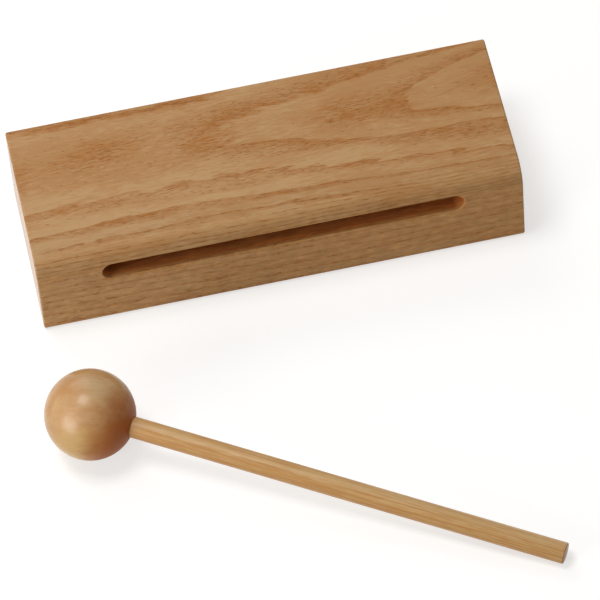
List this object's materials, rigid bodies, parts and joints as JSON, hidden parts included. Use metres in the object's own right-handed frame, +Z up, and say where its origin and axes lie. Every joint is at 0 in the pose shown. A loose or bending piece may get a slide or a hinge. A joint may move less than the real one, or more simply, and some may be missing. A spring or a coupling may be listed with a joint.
{
  "type": "woodblock",
  "caption": "Rectangular hardwood woodblock with a long blind slot under its rounded striking edge, and a loose beater with a turned ball head glued on a dowel stick.",
  "frame": {"origin": "centre of the block's bottom face, on the surface that the set lies on", "axes": "+X along the block's length, +Y from the slotted front face to the back, +Z up"},
  "size_m": [0.193, 0.2161, 0.039],
  "materials": {
    "block_wood": "clear satin varnish",
    "head_wood": "clear gloss varnish",
    "stick_wood": "sanded, thin clear varnish"
  },
  "bodies": {
    "block": {"block": "block_wood"},
    "beater": {"beater_head": "head_wood", "beater_stick": "stick_wood"}
  },
  "joints": [
    {"name": "beater_lift", "type": "slide", "parent": "block", "child": "beater", "axis": [0, 0, 1], "range_m": [0, 0.15]}
  ]
}
